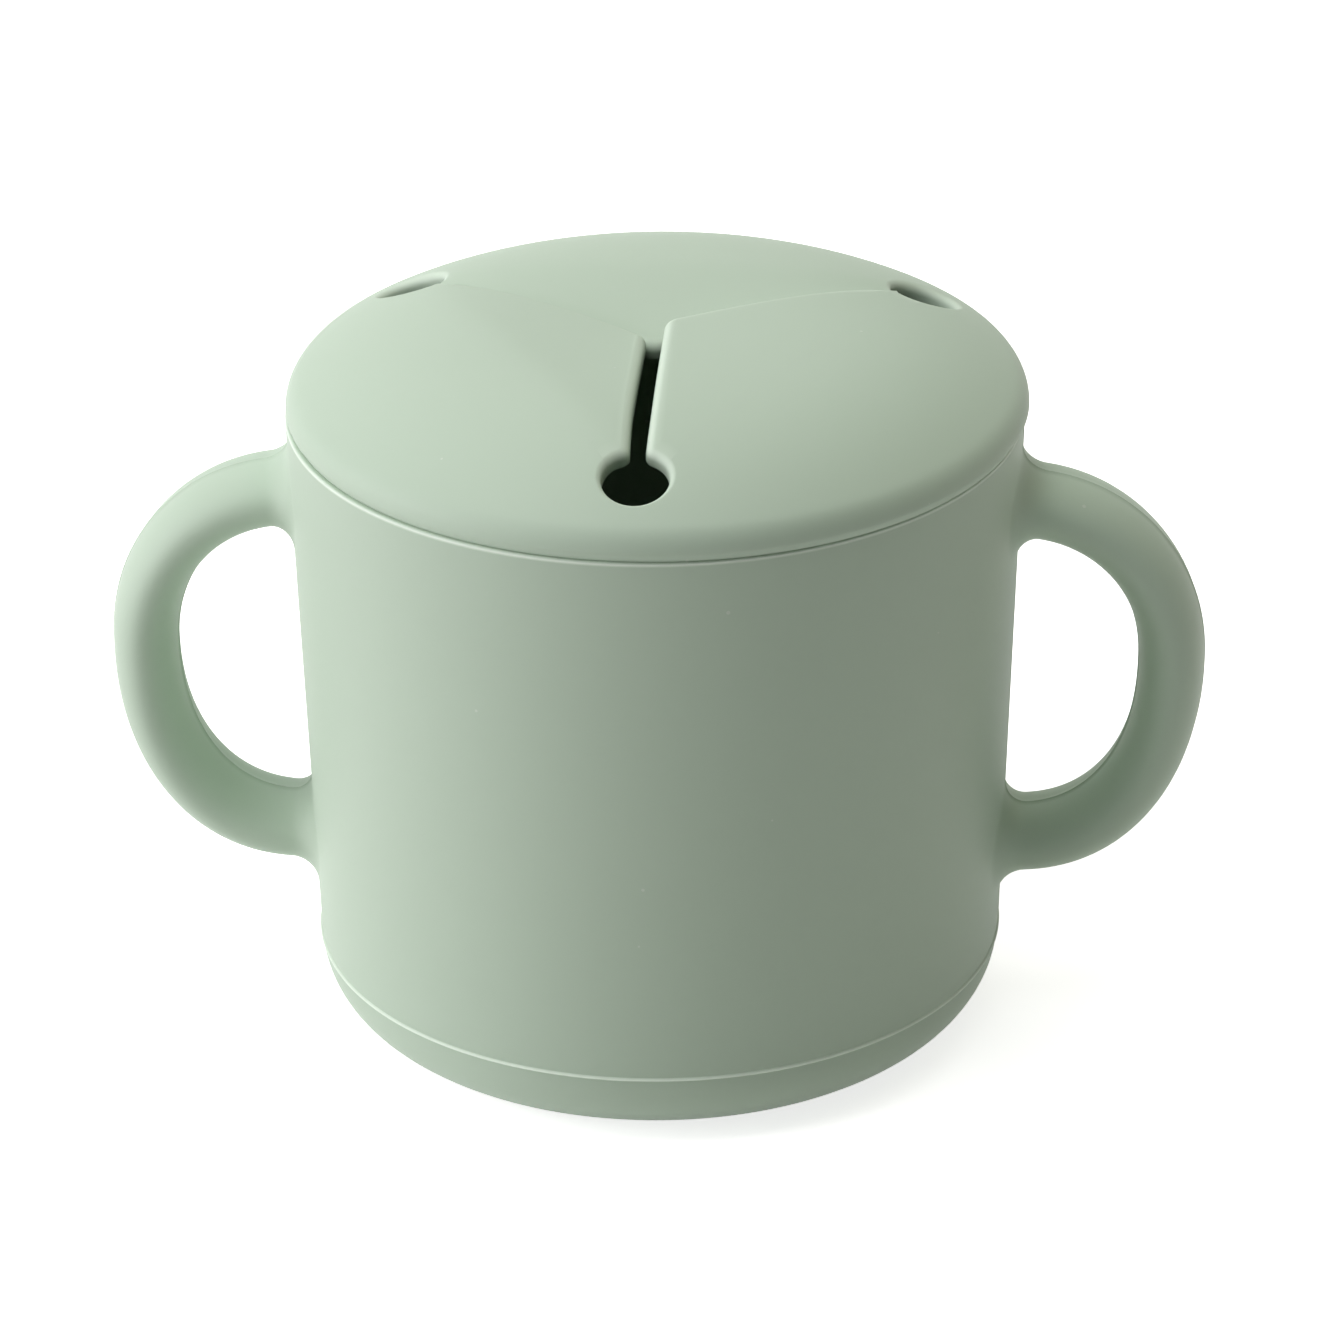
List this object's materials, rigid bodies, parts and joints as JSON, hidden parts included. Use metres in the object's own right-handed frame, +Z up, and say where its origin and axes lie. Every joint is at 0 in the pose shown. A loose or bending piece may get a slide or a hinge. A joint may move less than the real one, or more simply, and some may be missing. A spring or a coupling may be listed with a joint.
{
  "type": "toddler snack container",
  "caption": "Soft two-handled silicone snack cup with a plug-in domed lid, cut by radial slots into flaps that bend to let a small hand in and keep snacks from spilling.",
  "frame": {"origin": "middle of the base, at the level of what it stands on", "axes": "+Z up along the cup's axis, +X through the right handle, -Y towards the front slot of the lid"},
  "size_m": [0.1352, 0.09, 0.0914],
  "materials": {
    "cup_silicone": "matte moulded silicone",
    "lid_silicone": "matte moulded silicone"
  },
  "bodies": {
    "cup": {"cup": "cup_silicone", "left_handle": "cup_silicone", "right_handle": "cup_silicone"},
    "lid": {"lid_rim": "lid_silicone", "hinge_right": "lid_silicone", "hinge_left": "lid_silicone", "hinge_back": "lid_silicone"},
    "flap_right": {"flap_right": "lid_silicone"},
    "flap_left": {"flap_left": "lid_silicone"},
    "flap_back": {"flap_back": "lid_silicone"}
  },
  "joints": [
    {"name": "lid_lift", "type": "slide", "parent": "cup", "child": "lid", "axis": [0, 0, 1], "range_m": [0, 0.06]},
    {"name": "flap_right_bend", "type": "hinge", "parent": "lid", "child": "flap_right", "pos_m": [0.01594, -0.0092, 0.08872], "axis": [0.5, 0.866, 0], "range_deg": [-70, 45], "stiffness_Nm_per_rad": 0.004, "deforming": ["hinge_right"]},
    {"name": "flap_left_bend", "type": "hinge", "parent": "lid", "child": "flap_left", "pos_m": [-0.01594, -0.0092, 0.08872], "axis": [0.5, -0.866, 0], "range_deg": [-70, 45], "stiffness_Nm_per_rad": 0.004, "deforming": ["hinge_left"]},
    {"name": "flap_back_bend", "type": "hinge", "parent": "lid", "child": "flap_back", "pos_m": [0, 0.0184, 0.08872], "axis": [-1, 0, 0], "range_deg": [-70, 45], "stiffness_Nm_per_rad": 0.004, "deforming": ["hinge_back"]}
  ]
}
